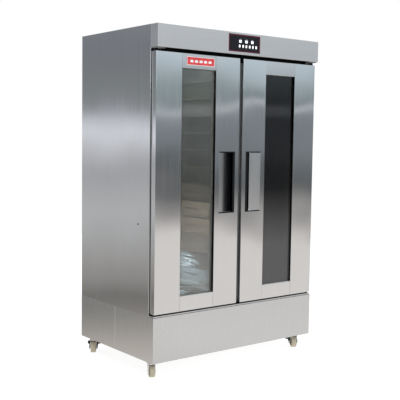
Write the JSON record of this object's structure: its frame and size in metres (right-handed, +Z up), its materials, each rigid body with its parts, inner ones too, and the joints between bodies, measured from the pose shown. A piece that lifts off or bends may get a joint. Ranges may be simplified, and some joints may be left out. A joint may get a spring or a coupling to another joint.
{
  "type": "proofing cabinet",
  "caption": "Bakery proofing cabinet with two tray bays, hinged glazed doors, a header control panel and casters.",
  "frame": {"origin": "on the floor under the middle of the cabinet's outline", "axes": "+Z up, doors face -Y, +X to the right of someone facing the doors"},
  "size_m": [1.06, 0.704, 1.694],
  "materials": {
    "fascia_steel": "satin",
    "side_steel": "satin",
    "door_steel": "satin",
    "liner_steel": "satin",
    "handle_steel": "satin",
    "black_nylon": "matte",
    "insulation": "matte",
    "door_glass": "gloss",
    "spacer_aluminium": "satin",
    "gasket_rubber": "matte",
    "badge_red": "gloss",
    "frame_zinc": "satin",
    "hinge_steel": "satin",
    "caster_zinc": "satin",
    "caster_nylon": "satin",
    "fan_aluminium": "satin",
    "guard_wire": "gloss",
    "motor_paint": "satin",
    "heater_sheath": "satin",
    "bezel_black": "gloss",
    "display_white": "gloss",
    "key_white": "satin",
    "board_green": "satin",
    "fitting_nylon": "satin",
    "screw_steel": "satin"
  },
  "bodies": {
    "cabinet": {"base_frame": "frame_zinc", "caster_plates": "caster_zinc", "chamber_liner": "liner_steel", "control_bezel": "bezel_black", "control_board": "board_green", "display_windows": "display_white", "door_frame": "liner_steel", "fan_guard": "guard_wire", "fan_motor": "motor_paint", "fasteners": "screw_steel", "header_fascia": "fascia_steel", "heating_elements": "heater_sheath", "hinge_plates": "hinge_steel", "insulation_slabs": "insulation", "left_outer_side": "side_steel", "plinth_panels": "fascia_steel", "plinth_rear_grille": "frame_zinc", "rear_fittings": "fitting_nylon", "rear_outer_panel": "side_steel", "right_outer_side": "side_steel", "top_outer_panel": "side_steel", "tray_racks": "liner_steel", "washers_and_strips": "black_nylon", "water_pan": "liner_steel"},
    "left_door": {"left_door_skin": "door_steel", "left_door_inner_pan": "liner_steel", "left_door_core": "insulation", "left_door_glazing": "door_glass", "left_door_glass_spacer": "spacer_aluminium", "left_door_gasket": "gasket_rubber", "left_door_handle": "handle_steel", "left_door_handle_trim": "black_nylon", "left_door_hinge_bushings": "black_nylon", "door_badge": "badge_red"},
    "right_door": {"right_door_skin": "door_steel", "right_door_inner_pan": "liner_steel", "right_door_core": "insulation", "right_door_glazing": "door_glass", "right_door_glass_spacer": "spacer_aluminium", "right_door_gasket": "gasket_rubber", "right_door_handle": "handle_steel", "right_door_handle_trim": "black_nylon", "right_door_hinge_bushings": "black_nylon"},
    "fan": {"fan_wheel": "fan_aluminium"},
    "key_1": {"key_1": "key_white"},
    "key_2": {"key_2": "key_white"},
    "key_3": {"key_3": "key_white"},
    "key_4": {"key_4": "key_white"},
    "key_5": {"key_5": "key_white"},
    "key_6": {"key_6": "key_white"},
    "front_left_swivel": {"front_left_fork": "caster_zinc"},
    "front_left_roller": {"front_left_wheel": "caster_nylon"},
    "front_right_swivel": {"front_right_fork": "caster_zinc"},
    "front_right_roller": {"front_right_wheel": "caster_nylon"},
    "front_right_brake": {"front_right_brake_pedal": "black_nylon"},
    "rear_left_swivel": {"rear_left_fork": "caster_zinc"},
    "rear_left_roller": {"rear_left_wheel": "caster_nylon"},
    "rear_left_brake": {"rear_left_brake_pedal": "black_nylon"},
    "rear_right_swivel": {"rear_right_fork": "caster_zinc"},
    "rear_right_roller": {"rear_right_wheel": "caster_nylon"}
  },
  "joints": [
    {"name": "left_door_hinge", "type": "hinge", "parent": "cabinet", "child": "left_door", "pos_m": [-0.514, -0.315, 0.94], "axis": [0, 0, -1], "range_deg": [0, 120]},
    {"name": "right_door_hinge", "type": "hinge", "parent": "cabinet", "child": "right_door", "pos_m": [0.514, -0.315, 0.94], "axis": [0, 0, 1], "range_deg": [0, 120]},
    {"name": "fan_spin", "type": "hinge", "parent": "cabinet", "child": "fan", "pos_m": [0, 0.026, 0.277], "axis": [0, 0, 1], "continuous": true},
    {"name": "key_1_press", "type": "slide", "parent": "cabinet", "child": "key_1", "axis": [0, 1, 0], "range_m": [0, 0.0007], "stiffness_N_per_m": 500},
    {"name": "key_2_press", "type": "slide", "parent": "cabinet", "child": "key_2", "axis": [0, 1, 0], "range_m": [0, 0.0007], "stiffness_N_per_m": 500},
    {"name": "key_3_press", "type": "slide", "parent": "cabinet", "child": "key_3", "axis": [0, 1, 0], "range_m": [0, 0.0007], "stiffness_N_per_m": 500},
    {"name": "key_4_press", "type": "slide", "parent": "cabinet", "child": "key_4", "axis": [0, 1, 0], "range_m": [0, 0.0007], "stiffness_N_per_m": 500},
    {"name": "key_5_press", "type": "slide", "parent": "cabinet", "child": "key_5", "axis": [0, 1, 0], "range_m": [0, 0.0007], "stiffness_N_per_m": 500},
    {"name": "key_6_press", "type": "slide", "parent": "cabinet", "child": "key_6", "axis": [0, 1, 0], "range_m": [0, 0.0007], "stiffness_N_per_m": 500},
    {"name": "front_left_swivel", "type": "hinge", "parent": "cabinet", "child": "front_left_swivel", "pos_m": [-0.484, -0.248, 0.068], "axis": [0, 0, 1], "continuous": true},
    {"name": "front_left_roll", "type": "hinge", "parent": "front_left_swivel", "child": "front_left_roller", "pos_m": [-0.49336, -0.27118, 0.03], "axis": [0.9272, -0.3746, 0], "continuous": true},
    {"name": "front_right_swivel", "type": "hinge", "parent": "cabinet", "child": "front_right_swivel", "pos_m": [0.484, -0.248, 0.068], "axis": [0, 0, 1], "continuous": true},
    {"name": "front_right_roll", "type": "hinge", "parent": "front_right_swivel", "child": "front_right_roller", "pos_m": [0.47226, -0.27007, 0.03], "axis": [0.8829, -0.4695, 0], "continuous": true},
    {"name": "front_right_brake", "type": "hinge", "parent": "front_right_swivel", "child": "front_right_brake", "pos_m": [0.47226, -0.27007, 0.03], "axis": [-0.8829, 0.4695, 0], "range_deg": [0, 8]},
    {"name": "rear_left_swivel", "type": "hinge", "parent": "cabinet", "child": "rear_left_swivel", "pos_m": [-0.484, 0.298, 0.068], "axis": [0, 0, 1], "continuous": true},
    {"name": "rear_left_roll", "type": "hinge", "parent": "rear_left_swivel", "child": "rear_left_roller", "pos_m": [-0.49869, 0.27777, 0.03], "axis": [0.809, -0.5878, 0], "continuous": true},
    {"name": "rear_left_brake", "type": "hinge", "parent": "rear_left_swivel", "child": "rear_left_brake", "pos_m": [-0.49869, 0.27777, 0.03], "axis": [-0.809, 0.5878, 0], "range_deg": [0, 8]},
    {"name": "rear_right_swivel", "type": "hinge", "parent": "cabinet", "child": "rear_right_swivel", "pos_m": [0.484, 0.298, 0.068], "axis": [0, 0, 1], "continuous": true},
    {"name": "rear_right_roll", "type": "hinge", "parent": "rear_right_swivel", "child": "rear_right_roller", "pos_m": [0.4965, 0.27635, 0.03], "axis": [0.866, 0.5, 0], "continuous": true}
  ]
}
